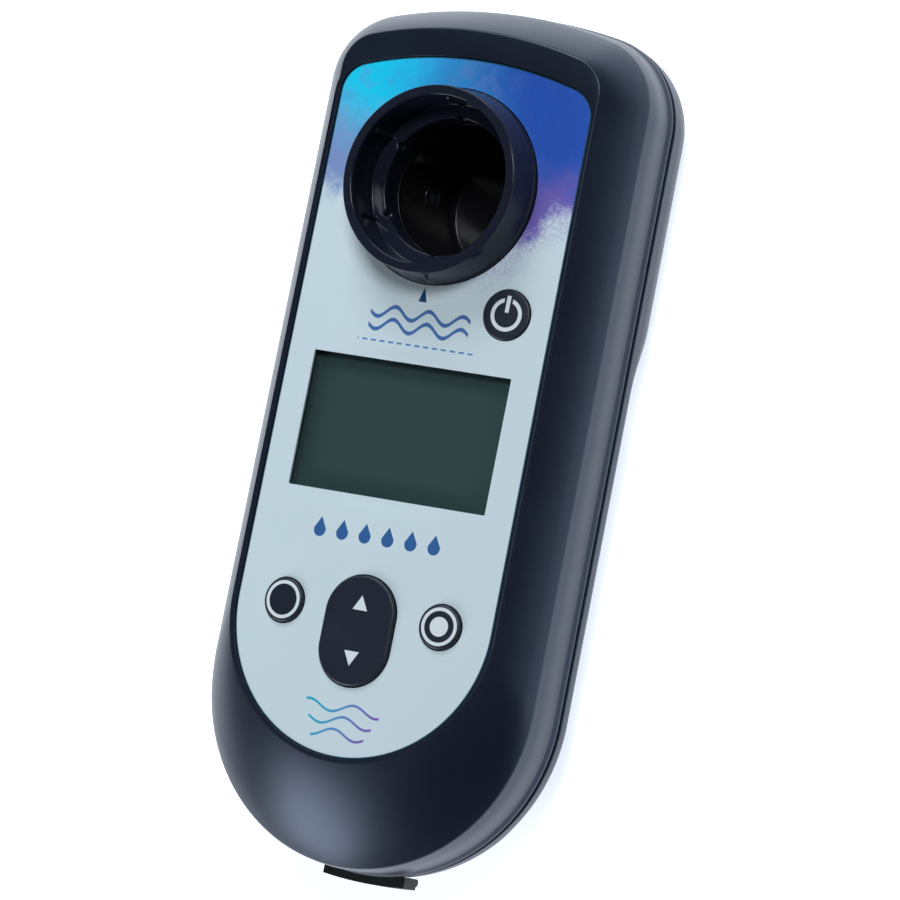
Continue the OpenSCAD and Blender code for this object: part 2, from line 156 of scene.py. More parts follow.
# ---------------------------------------------------------------- surfaces
def rounded(stations, turns=5):
    """Rings joined by straight walls with each corner turned by a quadratic curve.

    stations is a list of (ring, softness): between the points at distance softness before and
    after the corner C, P(t) = (1-t)^2 A + 2 t (1-t) C + t^2 B.
    """
    rings = [stations[0][0]]
    for before, here, after in zip(stations, stations[1:], stations[2:]):
        corner, soft = here
        if soft <= 0:
            rings.append(corner)
            continue
        back = before[0] - corner
        on = after[0] - corner
        back_len = np.linalg.norm(back, axis=1, keepdims=True) + 1e-9
        on_len = np.linalg.norm(on, axis=1, keepdims=True) + 1e-9
        a = corner + back * np.minimum(soft / back_len, 0.5)
        b = corner + on * np.minimum(soft / on_len, 0.5)
        for t in np.linspace(0, 1, turns):
            rings.append((1 - t) ** 2 * a + 2 * t * (1 - t) * corner + t ** 2 * b)
    rings.append(stations[-1][0])
    return rings


def loft(rings, pole_start=False, pole_end=False, loop=False):
    """Vertices and faces of a skin over closed rings P(i, k), faces outward as rings are given.

    A pole closes an end ring with a fan to its middle; loop joins the last ring to the first.
    """
    n = len(rings[0])
    points = np.vstack(rings)
    i = np.arange(n)
    j = (i + 1) % n
    spans = len(rings) if loop else len(rings) - 1
    k = np.arange(spans)[:, None] * n
    m = (np.arange(spans)[:, None] + 1) % len(rings) * n
    quads = np.stack([k + i, k + j, m + j, m + i], axis=-1).reshape(-1, 4)
    faces = quads.tolist()
    if pole_start:
        points = np.vstack([points, rings[0].mean(axis=0)])
        faces += np.column_stack([j, i, np.full(n, len(points) - 1)]).tolist()
    if pole_end:
        points = np.vstack([points, rings[-1].mean(axis=0)])
        base = (len(rings) - 1) * n
        faces += np.column_stack([base + i, base + j, np.full(n, len(points) - 1)]).tolist()
    return points, faces


def patch(outline, holes, pitch, height, rings=()):
    """A flat sheet inside outline with holes, on a triangle net, lifted to z = height(x, y).

    rings are rows of points between the outline and the square grid, where the height turns fast.
    """
    low, high = outline.min(axis=0), outline.max(axis=0)
    gx, gy = np.meshgrid(np.arange(low[0] + pitch / 2, high[0], pitch),
                         np.arange(low[1] + pitch / 2, high[1], pitch))
    grid = np.column_stack([gx.ravel(), gy.ravel()])
    core = rings[-1] if rings else outline
    grid = np.vstack([grid[inside(grid, core, pitch * 0.35)]] + list(rings))
    fine = np.ones(len(grid), bool)
    for hole in holes:
        fine &= ~inside(grid, hole, -pitch * 0.35)
    loops = [outline] + list(holes)
    points = np.vstack(loops + [grid[fine]])
    edges = []
    start = 0
    for loop in loops:
        index = np.arange(start, start + len(loop))
        edges += np.column_stack([index, np.roll(index, -1)]).tolist()
        start += len(loop)
    result = delaunay_2d_cdt([Vector(p) for p in points.tolist()], edges, [], 0, 1e-5)
    flat = np.array([tuple(v) for v in result[0]])
    tris = np.array([f for f in result[2]])
    middle = flat[tris].mean(axis=1)
    good = inside(middle, outline, 0)
    for hole in holes:
        good &= ~inside(middle, hole, 0)
    return np.column_stack([flat, height(flat[:, 0], flat[:, 1])]), tris[good].tolist()


def inside(points, outline, margin):
    """True where a point is inside a closed outline by at least margin, by the crossing rule."""
    a = outline
    b = np.roll(outline, -1, axis=0)
    px, py = points[:, :1], points[:, 1:]
    crosses = (a[:, 1] > py) != (b[:, 1] > py)
    rise = np.where(b[:, 1] == a[:, 1], 1e-12, b[:, 1] - a[:, 1])
    at = a[:, 0] + (py - a[:, 1]) / rise * (b[:, 0] - a[:, 0])
    within = (np.sum(crosses & (px < at), axis=1) % 2) == 1
    if margin == 0:
        return within
    gap = gap_to(points, outline)
    return within & (gap > margin) if margin > 0 else within | (gap < -margin)


def gap_to(points, outline):
    """Distance from points to the nearest edge of a closed outline."""
    a = outline
    d = np.roll(outline, -1, axis=0) - a
    px, py = points[:, :1], points[:, 1:]
    t = ((px - a[:, 0]) * d[:, 0] + (py - a[:, 1]) * d[:, 1]) / (np.sum(d * d, axis=1) + 1e-12)
    t = np.clip(t, 0, 1)
    return np.hypot(px - a[:, 0] - t * d[:, 0], py - a[:, 1] - t * d[:, 1]).min(axis=1)


def circle(r, at=(0, 0), n=64):
    """n points of a circle in plan."""
    a = np.linspace(0, 2 * np.pi, n, endpoint=False)
    return np.column_stack([at[0] + r * np.cos(a), at[1] + r * np.sin(a)])


def stadium(r, half, at=(0, 0), n=48):
    """Two half circles of radius r joined by lines of length 2 half along y."""
    a = np.linspace(0, np.pi, n)
    top = np.column_stack([r * np.cos(a), half + r * np.sin(a)])
    low = np.column_stack([r * np.cos(a + np.pi), -half + r * np.sin(a + np.pi)])
    side = np.linspace(half, -half, 10)[1:-1]
    left = np.column_stack([np.full(8, -r), side])
    right = np.column_stack([np.full(8, r), -side])
    return np.vstack([top, left, low, right]) + at


def rectangle(half_x, half_y, at=(0, 0), corner=0.6, n=6):
    """A rectangle with rounded corners, anticlockwise."""
    a = np.linspace(0, np.pi / 2, n)
    arcs = []
    for k, (sx, sy) in enumerate(((1, 1), (-1, 1), (-1, -1), (1, -1))):
        b = a + k * np.pi / 2
        cx, cy = sx * (half_x - corner), sy * (half_y - corner)
        arcs.append(np.column_stack([cx + corner * np.cos(b), cy + corner * np.sin(b)]))
    return np.vstack(arcs) + at


def make(name, parts, body, replaced, material, thick=0.0):
    """One piece from (points, faces) parts in millimetres, on a body, in place of CAD nodes."""
    points, faces, start = [], [], 0
    for p, f in parts:
        points.append(np.asarray(p, float))
        faces += [[v + start for v in face] for face in f]
        start += len(p)
    mesh = bpy.data.meshes.new(name)
    mesh.from_pydata((np.vstack(points) * MM).tolist(), [], faces)
    mesh.update()
    merge(mesh)
    mesh.polygons.foreach_set("use_smooth", np.ones(len(mesh.polygons), bool))
    mesh.materials.append(material)
    piece = bpy.data.objects.new(name, mesh)
    bpy.context.scene.collection.objects.link(piece)
    if thick:
        shell = piece.modifiers.new("wall", "SOLIDIFY")
        shell.thickness = thick * MM
        shell.offset = -1
    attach(piece, body)
    if replaced:
        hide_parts(*replaced)
    return piece


def merge(mesh):
    """Joins the doubled points of seams and poles, turns faces outward and marks sharp edges."""
    work = bmesh.new()
    work.from_mesh(mesh)
    bmesh.ops.remove_doubles(work, verts=work.verts, dist=2e-7)
    bmesh.ops.recalc_face_normals(work, faces=work.faces)
    for edge in work.edges:
        edge.smooth = edge.calc_face_angle(0.0) < 0.7
    work.to_mesh(mesh)
    work.free()


# ---------------------------------------------------------------- shader maths
class Value:
    """A number socket that can be added, multiplied and compared in plain expressions."""

    def __init__(self, paint, socket):
        self.paint = paint
        self.socket = socket

    def __add__(self, other):
        return self.paint.math("ADD", self, other)

    def __sub__(self, other):
        return self.paint.math("SUBTRACT", self, other)

    def __rsub__(self, other):
        return self.paint.math("SUBTRACT", other, self)

    def __mul__(self, other):
        return self.paint.math("MULTIPLY", self, other)

    def __truediv__(self, other):
        return self.paint.math("DIVIDE", self, other)

    def __rtruediv__(self, other):
        return self.paint.math("DIVIDE", other, self)

    def __pow__(self, other):
        return self.paint.math("POWER", self, other)

    __radd__ = __add__
    __rmul__ = __mul__


class Paint:
    """One procedural material; x, y, z are the piece's own millimetres."""

    def __init__(self, name):
        self.material = bpy.data.materials.new(name)
        self.material.use_nodes = True
        self.tree = self.material.node_tree
        self.tree.nodes.clear()
        self.output = self.tree.nodes.new("ShaderNodeOutputMaterial")
        coords = self.tree.nodes.new("ShaderNodeTexCoord")
        self.place = Value(self, coords.outputs["Object"])
        split = self.node("ShaderNodeSeparateXYZ", {}, {0: self.place})
        self.x, self.y, self.z = [Value(self, s) * 1000.0 for s in split.socket.node.outputs]

    def node(self, kind, settings, inputs, out=0):
        """Any node: its type, its settings, then its inputs as links or values."""
        made = self.tree.nodes.new(kind)
        for key, value in settings.items():
            setattr(made, key, value)
        for key, value in inputs.items():
            if isinstance(value, Value):
                self.tree.links.new(value.socket, made.inputs[key])
            else:
                made.inputs[key].default_value = value
        return Value(self, made.outputs[out])

    def math(self, operation, *values):
        return self.node("ShaderNodeMath", {"operation": operation}, dict(enumerate(values)))

    def high(self, a, b):
        return self.math("MAXIMUM", a, b)

    def low(self, a, b):
        return self.math("MINIMUM", a, b)

    def size(self, a, b):
        """Length of (a, b)."""
        return (a * a + b * b) ** 0.5

    def step(self, value, start, end):
        """0 before start, 1 after end, smooth between; start may be above end."""
        settings = {"interpolation_type": "SMOOTHSTEP", "clamp": True}
        if start < end:
            ends = {1: start, 2: end, 3: 0.0, 4: 1.0}
        else:
            ends = {1: end, 2: start, 3: 1.0, 4: 0.0}
        return self.node("ShaderNodeMapRange", settings, {0: value, **ends})

    def band(self, value, middle, half, soft=0.06):
        """1 where value is within half of middle."""
        return self.step(self.math("ABSOLUTE", value - middle), half + soft, half - soft)

    def noise(self, per_mm, detail=3.0, rough=0.5, stretch=None):
        """Noise between 0 and 1, with per_mm features a millimetre."""
        place = self.place
        if stretch:
            place = self.node("ShaderNodeVectorMath", {"operation": "MULTIPLY"}, {0: place, 1: stretch})
        return self.node("ShaderNodeTexNoise", {}, {
            "Vector": place, "Scale": per_mm * 1000, "Detail": detail, "Roughness": rough})

    def mix(self, a, b, factor):
        """Colour a where factor is 0, colour b where it is 1."""
        made = self.tree.nodes.new("ShaderNodeMix")
        made.data_type = "RGBA"
        for key, value in ((0, factor), (6, a), (7, b)):
            if isinstance(value, Value):
                self.tree.links.new(value.socket, made.inputs[key])
            elif key == 0:
                made.inputs[key].default_value = value
            else:
                made.inputs[key].default_value = (*value, 1.0)
        return Value(self, made.outputs[2])

    def bump(self, height, distance_mm, strength=1.0):
        return self.node("ShaderNodeBump", {}, {
            "Height": height, "Distance": distance_mm * MM, "Strength": strength})

    def finish(self, **inputs):
        """The main shader with the given sockets, joined to the output."""
        shader = self.tree.nodes.new("ShaderNodeBsdfPrincipled")
        for key, value in inputs.items():
            key = key.replace("_", " ")
            if isinstance(value, Value):
                self.tree.links.new(value.socket, shader.inputs[key])
            elif isinstance(value, tuple):
                shader.inputs[key].default_value = (*value, 1.0)
            else:
                shader.inputs[key].default_value = value
        self.tree.links.new(shader.outputs[0], self.output.inputs[0])
        return self.material


# ---------------------------------------------------------------- materials
def moulded(name, colour, rough, grain_mm=0.35, depth=0.012, patchy=0.12):
    """Moulded plastic: fine spark-eroded grain, slightly uneven gloss and tone."""
    p = Paint(name)
    grain = p.noise(1 / grain_mm, 2.0, 0.6)
    cloud = p.noise(0.05, 3.0)
    darker = tuple(c * (1 - patchy) for c in colour)
    lighter = tuple(c * (1 + patchy) for c in colour)
    base = p.mix(darker, lighter, p.step(cloud * 0.7 + grain * 0.3, 0.35, 0.65))
    return p.finish(Base_Color=base, Roughness=cloud * 0.08 + grain * 0.06 + (rough - 0.07),
                    Specular_IOR_Level=0.5, Specular_Tint=(0.66, 0.80, 1.10), Normal=p.bump(grain, depth))


def polished(name, colour, rough=0.1):
    """Glossy moulded plastic with faint flow marks and hairline wear."""
    p = Paint(name)
    flow = p.noise(0.12, 2.0)
    fine = p.noise(2.5, 4.0, 0.6)
    base = p.mix(colour, tuple(c * 1.5 for c in colour), flow)
    return p.finish(Base_Color=base, Roughness=fine * 0.06 + flow * 0.05 + (rough - 0.05),
                    Normal=p.bump(flow * 0.7 + fine * 0.3, 0.01, 0.6), Specular_IOR_Level=0.19)


CASE_COLOUR = (0.0085, 0.0125, 0.0235)
KEY_COLOUR = (0.0080, 0.0135, 0.0260)


def key_paint(name, symbol):
    """Key plastic with a printed symbol; symbol(paint) gives a mask from x, y."""
    p = Paint(name)
    grain = p.noise(2.6, 2.0, 0.6)
    cloud = p.noise(0.1, 2.0)
    base = p.mix(KEY_COLOUR, tuple(c * 1.25 for c in KEY_COLOUR), cloud)
    ink = symbol(p)
    base = p.mix(base, (0.74, 0.80, 0.84), ink)
    rough = cloud * 0.08 + grain * 0.05 + 0.36 - ink * 0.06
    return p.finish(Base_Color=base, Roughness=rough, Normal=p.bump(grain + ink * 0.8, 0.008))


def power_symbol(p):
    """An open ring with a bar in the gap."""
    x, y = p.x - POWER_AT[0], p.y - POWER_AT[1]
    r = p.size(x, y)
    gap = p.step(p.math("ABSOLUTE", x), 0.85, 0.95) + p.step(y, 0.05, -0.05)
    circle_mask = p.band(r, 2.95, 0.40) * p.low(gap, 1.0)
    bar = p.band(x, 0.0, 0.42) * p.band(y, 2.15, 1.70)
    return p.low(circle_mask + bar, 1.0)


def ring_symbol(at_x, dot):
    """A thin ring on a round key, with a dot in it when asked."""
    def symbol(p):
        r = p.size(p.x - at_x, p.y - (KEY_Y + 0.05))
        mask = p.band(r, 3.50, 0.34)
        if dot:
            mask = mask + p.step(r, 2.02, 1.90)
        return mask
    return symbol


def arrow_symbol(p):
    """Two triangles: apex away from the middle of the rocker."""
    mask = None
    for apex, base, sign in ((-32.5, -35.5, 1), (-46.7, -43.7, -1)):
        along = (p.y - base) * sign / abs(apex - base)
        side = p.math("ABSOLUTE", p.x) - (1 - along) * 1.68
        one = p.step(side, 0.06, -0.06) * p.step(along, -0.01, 0.03)
        mask = one if mask is None else mask + one
    return mask


def label_paint():
    """Printed film: pale ground, watercolour wash at the well end, plain wave and drop marks."""
    p = Paint("label_print")
    x, y = p.x, p.y
    broad = p.noise(0.06, 4.0, 0.55)
    wisp = p.noise(0.22, 6.0, 0.62)
    fleck = p.noise(1.6, 4.0, 0.7)
    speck = p.noise(5.0, 2.0, 0.6)
    ground = p.mix((0.630, 0.745, 0.800), (0.660, 0.775, 0.830), broad)
    # The wash runs from cyan by mid blue to deep blue, purple towards its lower edge.
    across = x + (broad - 0.5) * 22 + (wisp - 0.5) * 10
    tone = p.mix((0.001, 0.640, 0.930), (0.032, 0.300, 0.720), p.step(across, -24.0, -3.0))
    tone = p.mix(tone, (0.017, 0.096, 0.520), p.step(across, -2.0, 17.0))
    milky = p.step(y + (wisp - 0.5) * 20 + x * 0.35, 62.0, 44.0) * p.step(x, 0.0, -14.0)
    tone = p.mix(tone, (0.215, 0.310, 0.600), milky)
    cloud = p.step(wisp + (broad - 0.5) * 0.6, 0.50, 0.70)
    tone = p.mix(tone, (0.130, 0.290, 0.640), cloud * 0.45 * p.step(x, 17.0, 2.0))
    low_side = p.step(y - x * 0.15 + (wisp - 0.5) * 12, 57.0, 45.0) * p.step(x, 6.0, 20.0)
    tone = p.mix(tone, (0.190, 0.125, 0.470), low_side * 0.85)
    # Lower edge of the wash, feathered in wisps.
    right = p.step(x, -4.0, 11.0)
    edge = 46.0 - right * 9.5 + p.step(x, 12.0, 29.0) * 12.0
    above = y - edge + (wisp - 0.5) * 11 + (fleck - 0.5) * 2.5 + (broad - 0.5) * 6
    body_of_wash = p.step(above, -1.2, 5.0)
    fringe = p.step(above, -7.5, 1.5) * p.step(fleck, 0.34, 0.66) * right
    inkiness = p.low(body_of_wash + fringe * 0.32, 1.0) * (0.90 + speck * 0.2)
    art = p.mix(ground, tone, p.low(inkiness, 1.0))
    art = p.mix(art, (0.34, 0.28, 0.60), p.low(fringe * (1 - body_of_wash), 1.0) * 0.35)
    # Pointer below the collar.
    tip = (30.1 - y) / 3.0
    pointer = p.step(p.math("ABSOLUTE", x + 0.1) - tip * 0.95, 0.05, -0.05) * p.step(tip, 1.02, 0.98)
    art = p.mix(art, (0.006, 0.060, 0.150), pointer)
    # Plain marks in place of names: two waves, a row of dashes, six drops and three wavy strokes.
    wave = p.math("SINE", x * 0.82)
    inner = p.step(p.math("ABSOLUTE", x), 11.4, 11.2)
    two = p.band(y - wave * 1.15, 24.2, 0.42, 0.10) + p.band(y - wave * 1.15, 21.6, 0.42, 0.10)
    art = p.mix(art, (0.060, 0.170, 0.440), two * inner)
    dash = p.step(p.math("FRACT", x / 2.0 + 40.0), 0.62, 0.56) * p.band(y, 18.2, 0.20)
    art = p.mix(art, (0.110, 0.260, 0.540), dash * p.step(p.math("ABSOLUTE", x), 13.2, 13.0))
    art = p.mix(art, (0.035, 0.125, 0.340), drops_mask(p))
    swirl, along = swirl_mask(p)
    art = p.mix(art, p.mix((0.03, 0.42, 0.62), (0.22, 0.12, 0.50), along), swirl)
    # A thin dark print line along the outline.
    rim = p.node("ShaderNodeAttribute", {"attribute_name": "rim"}, {}, 2)
    art = p.mix((0.012, 0.075, 0.120), art, p.step(rim, 0.30, 0.75))
    return p.finish(Base_Color=art, Roughness=fleck * 0.08 + 0.30, Coat_Weight=0.2, Coat_Roughness=0.12,
                    Normal=p.bump(speck * 0.5 + fleck * 0.5, 0.004))


def drops_mask(p):
    """Six water drops in a row: a disc with a pointed top."""
    pitch = 5.2
    cell = p.math("FRACT", p.x / pitch + 40.0) - 0.5
    dx = cell * pitch
    dy = p.y + 20.6
    disc = p.size(dx, dy + 0.35) - 1.35
    cone = p.math("ABSOLUTE", dx) * 1.75 + (dy - 2.35)
    peak = p.high(cone, -0.2 - dy)
    shape = p.step(p.low(disc, peak * 0.6), 0.06, -0.06)
    return shape * p.step(p.math("ABSOLUTE", p.x), 15.7, 15.5)


def swirl_mask(p):
    """Three wavy strokes below the rocker, with the way along them for the colour."""
    mask = None
    for k, (low, lift) in enumerate(((-55.2, 0.0), (-57.8, 1.1), (-60.4, 2.2))):
        wave = p.math("SINE", p.x * 0.62 + lift)
        end = 8.6 - k * 1.2
        one = p.band(p.y - wave * 0.9, low, 0.27, 0.09) * p.step(p.math("ABSOLUTE", p.x), end, end - 0.3)
        mask = one if mask is None else mask + one
    along = p.step(p.x - p.y * 0.4 - 23.0, -8.0, 9.0)
    return mask, along


def display_paint():
    """Unlit liquid crystal glass: grey green, faint rows of segments, and painted shade of the window recess
    that darkens it towards its edges.
    """
    p = Paint("display_glass")
    dx, dy = p.x / 22.4, (p.y - SCREEN[2]) / 13.75
    # Painted shade: the glass is paler in the middle and darker towards all four edges, standing in for the
    # shade the window recess casts on it.
    middle = p.step(p.high(p.math("ABSOLUTE", dx), p.math("ABSOLUTE", dy)), 1.05, 0.55)
    rows = p.band(p.math("FRACT", p.y / 6.2 + 40.3), 0.5, 0.33, 0.04)
    cells = p.band(p.math("FRACT", p.x / 3.9 + 40.5), 0.5, 0.36, 0.05)
    haze = p.noise(0.2, 2.0)
    base = p.mix((0.040, 0.073, 0.073), (0.050, 0.088, 0.089), middle)
    base = p.mix(base, (0.041, 0.073, 0.073), rows * cells * 0.14)
    grain = p.noise(6.0, 2.0)
    return p.finish(Base_Color=base, Roughness=haze * 0.06 + 0.30, Specular_IOR_Level=0.4,
                    Normal=p.bump(grain, 0.002))


def window_paint():
    """Clear cover: what lies below shows through, with a soft reflection that grows at a slant."""
    p = Paint("clear_window")
    gloss = p.tree.nodes.new("ShaderNodeBsdfGlossy")
    smear = p.noise(0.3, 3.0)
    rough = smear * 0.10 + 0.05
    p.tree.links.new(rough.socket, gloss.inputs["Roughness"])
    clear = p.tree.nodes.new("ShaderNodeBsdfTransparent")
    clear.inputs[0].default_value = (0.95, 0.97, 0.97, 1.0)
    facing = p.node("ShaderNodeLayerWeight", {}, {"Blend": 0.5}, 1)
    fresnel = facing ** 5.0 * 0.9 + 0.03
    both = p.tree.nodes.new("ShaderNodeMixShader")
    p.tree.links.new(fresnel.socket, both.inputs[0])
    p.tree.links.new(clear.outputs[0], both.inputs[1])
    p.tree.links.new(gloss.outputs[0], both.inputs[2])
    p.tree.links.new(both.outputs[0], p.output.inputs[0])
    return p.material


def rubber_paint(name, colour=(0.012, 0.013, 0.015)):
    """Matt rubber with a little dust."""
    p = Paint(name)
    grain = p.noise(3.2, 3.0, 0.6)
    dust = p.noise(0.5, 5.0, 0.65)
    base = p.mix(colour, (0.045, 0.046, 0.050), p.step(dust, 0.58, 0.80) * 0.3)
    return p.finish(Base_Color=base, Roughness=grain * 0.10 + dust * 0.1 + 0.52, Normal=p.bump(grain, 0.015))


def metal_paint(name, colour, rough, brushed=None):
    """Plated metal with fine lines and faint stains."""
    p = Paint(name)
    lines = p.noise(1.2, 4.0, 0.6, brushed)
    stain = p.noise(0.25, 3.0)
    base = p.mix(colour, tuple(c * 0.72 for c in colour), stain * 0.6)
    return p.finish(Base_Color=base, Metallic=1.0, Roughness=lines * 0.12 + stain * 0.08 + rough,
                    Normal=p.bump(lines, 0.004))


def board_paint():
    """Solder resist with routed tracks and pads."""
    p = Paint("board_green")
    track = p.band(p.math("FRACT", p.y / 1.9 + 40.0), 0.5, 0.12, 0.03)
    bend = p.noise(0.15, 1.0)
    route = track * p.step(bend, 0.42, 0.50)
    pads = p.node("ShaderNodeTexVoronoi", {}, {"Vector": p.place, "Scale": 320.0})
    pad = p.step(pads, 0.20, 0.16)
    base = p.mix((0.010, 0.090, 0.035), (0.020, 0.170, 0.070), route)
    base = p.mix(base, (0.62, 0.60, 0.55), pad)
    return p.finish(Base_Color=base, Roughness=bend * 0.1 + 0.28, Metallic=pad * 0.8,
                    Normal=p.bump(route * 0.5 + pad, 0.02))


def cell_paint():
    """Shrink sleeve of a plain cell: blue body, a pale band towards one end, fine streaks."""
    p = Paint("cell_sleeve")
    streak = p.noise(0.5, 3.0, 0.5, (1.0, 0.12, 1.0))
    band = p.band(p.y, -8.0, 2.2, 0.1)
    bare = p.step(p.math("ABSOLUTE", p.y + 24.0), 24.2, 24.4)
    base = p.mix((0.012, 0.055, 0.190), (0.016, 0.075, 0.240), streak)
    base = p.mix(base, (0.55, 0.57, 0.60), band)
    base = p.mix(base, (0.55, 0.56, 0.58), bare)
    return p.finish(Base_Color=base, Roughness=streak * 0.1 + 0.24, Metallic=bare * 0.9,
                    Normal=p.bump(streak, 0.006), Coat_Weight=0.3)


def plate_paint():
    """Blank rating plate: satin foil with a thin printed frame."""
    p = Paint("rating_foil")
    foil = p.noise(1.5, 4.0, 0.6, (0.15, 1.0, 1.0))
    fx = p.math("ABSOLUTE", p.x) - 15.6
    fy = p.math("ABSOLUTE", p.y - BACK_PLATE[2]) - 9.6
    frame_line = p.band(p.high(fx, fy), 0.0, 0.18, 0.05)
    base = p.mix((0.50, 0.51, 0.53), (0.58, 0.59, 0.61), foil)
    base = p.mix(base, (0.05, 0.06, 0.09), frame_line)
    return p.finish(Base_Color=base, Metallic=0.7 - frame_line * 0.6, Roughness=foil * 0.1 + 0.33,
                    Normal=p.bump(foil, 0.004))


def tinted_paint(name, colour, rough):
    """Small glossy optical parts."""
    p = Paint(name)
    haze = p.noise(0.8, 2.0)
    base = p.mix(colour, tuple(min(1.0, c * 1.3) for c in colour), haze)
    return p.finish(Base_Color=base, Roughness=haze * 0.05 + rough, Coat_Weight=0.6,
                    Normal=p.bump(haze, 0.003))


CASE = moulded("case_plastic", CASE_COLOUR, 0.36)
COLLAR = polished("collar_gloss", (0.0100, 0.0122, 0.0225), 0.12)
CHAMBER = polished("chamber_black", (0.0085, 0.0072, 0.0088), 0.22)
RUBBER = rubber_paint("soft_rubber")
LABEL_INK = label_paint()


# ---------------------------------------------------------------- the case
def shoulder(t):
    """Ring on the way from the shoulder edge to the crease, a little domed."""
    edge, crease = curve(EDGE), curve(CREASE)
    top = crown(crease[:, 0], DECK_Z)
    xy = edge + (crease - edge) * t
    return ring(xy, SHOULDER_Z + (top - SHOULDER_Z) * (t + 0.34 * t * (1 - t)))


def front_case():
    """Upper case: bead above the joint, wall, rounded edge, domed shoulder, crease, flat deck rim."""
    stations = [(ring(curve(inset(JOINT, JOINT_LIP)), SPLIT_Z + JOINT_GAP), 0)]
    for d, rise, soft in BEAD:
        stations.append((ring(curve(inset(JOINT, d)), SPLIT_Z + rise), soft))
    groove = curve(inset(JOINT, 0.60))
    edge = curve(EDGE)
    stations.append((ring(groove, SPLIT_Z + BEAD_TOP), 0.12))
    for t in np.linspace(0.06, 0.94, 9):
        swell = 0.42 * np.sin(np.pi * t)
        xy = groove + (curve(inset(EDGE, -swell)) - groove) * t
        stations.append((ring(xy, SPLIT_Z + BEAD_TOP + (WALL_TOP - SPLIT_Z - BEAD_TOP) * t), 0))
    stations.append((ring(edge, EDGE_Z), 0.4))
    for t in (0.14, 0.24, 0.34, 0.44, 0.54, 0.64, 0.74, 0.84, 0.92):
        stations.append((shoulder(t), 0))
    stations.append((shoulder(1.0), 0.35))
    lip = curve(inset(LABEL, -0.14))
    stations.append((ring(lip, crown(lip[:, 0], DECK_Z)), 0.12))
    stations.append((ring(lip, crown(lip[:, 0], DECK_Z - 0.75)), 0))
    deep = curve(inset(LABEL, 3.0))
    stations.append((ring(deep, crown(deep[:, 0], DECK_Z - 0.75)), 0))
    make("front_case", [loft(rounded(stations, 6))], "case", ["front_shell"], CASE, 1.2)


def back_rise(y, part):
    """Height at part (0 to 1) of the way from the back up to where the round-over starts."""
    low = back_z(y)
    return low + (BACK_TOP - low) * part


def back_surface(x, y):
    """Height of the back: the elliptic round-over by the distance in from the outline, then flat."""
    d = np.clip((gap_to(np.column_stack([x, y]), curve(JOINT)) - BACK_IN) / ROUND, 0, 1)
    return back_rise(y, 1 - np.sqrt(1 - np.square(1 - d)))


def rear_side():
    """Lip, wall and round-over of the lower case, with the flap's recess and the port slot."""
    stations = [(ring(curve(inset(JOINT, JOINT_LIP)), SPLIT_Z - JOINT_GAP), 0)]
    stations.append((ring(curve(inset(JOINT, 0.90)), SPLIT_Z - JOINT_GAP), 0.1))
    stations.append((ring(curve(inset(JOINT, 0.18)), SPLIT_Z - 0.95), 0.3))
    for a in np.linspace(0, np.arccos(1 - (PATCH_INSET - BACK_IN) / ROUND), 14):
        xy = curve(inset(JOINT, BACK_IN + ROUND * (1 - np.cos(a))))
        stations.append((ring(xy, back_rise(xy[:, 1], 1 - np.sin(a))), 0))
    stations[-1] = (ring(xy, back_surface(*xy.T)), 0)
    points, faces = loft(rounded(stations))
    x, y, z = np.abs(points[:, 0]), points[:, 1], points[:, 2]
    y[(x < USB_HALF) & (z > USB_LOW) & (y < USB_Y)] = USB_Y
    half_x, half_z, middle = PORT
    port = (x < half_x) & (np.abs(z - middle) < half_z) & (y < USB_Y + 0.1)
    slot = port[np.array(faces)].all(axis=1)
    return points, [f for f, in_slot in zip(faces, slot) if not in_slot]


def rear_case():
    """Lower case: its side, the back with its openings, the battery tray and the screw cups."""
    cover = rectangle(COVER[0], COVER[1], (0, COVER[2]))
    bay = rectangle(BAY[0], BAY[1], (0, BAY[2]))
    cup_r, cup_z = SCREW_CUP
    screws = [circle(cup_r, at, 32) for at in CASE_SCREWS]
    holes = [cover, rectangle(BACK_PLATE[0], BACK_PLATE[1], (0, BACK_PLATE[2]))]
    holes += [circle(FOOT_R, at, 32) for at in FOOT_PADS]
    outline = curve(inset(JOINT, PATCH_INSET))
    rows = [curve(inset(JOINT, d), COARSE) for d in (3.4, 3.85, 4.35, 4.9, 5.5, 6.2, 7.0, 7.9, 8.9)]
    back = patch(outline, holes + screws, 1.8, back_surface, rows)
    tray = loft([ring(cover, back_surface(*cover.T)), ring(cover, COVER_LEDGE), ring(bay, COVER_LEDGE),
                 ring(bay, BAY_TOP)], pole_end=True)
    cups = []
    for xy in screws:
        seat = xy * 0.4 + xy.mean(axis=0) * 0.6
        cups.append(loft([ring(xy, back_surface(*xy.T)), ring(xy, cup_z), ring(seat, cup_z)]))
    make("rear_case", [rear_side(), back, tray] + cups, "case", ["rear_shell"], CASE, 0.9)


front_case()
rear_case()


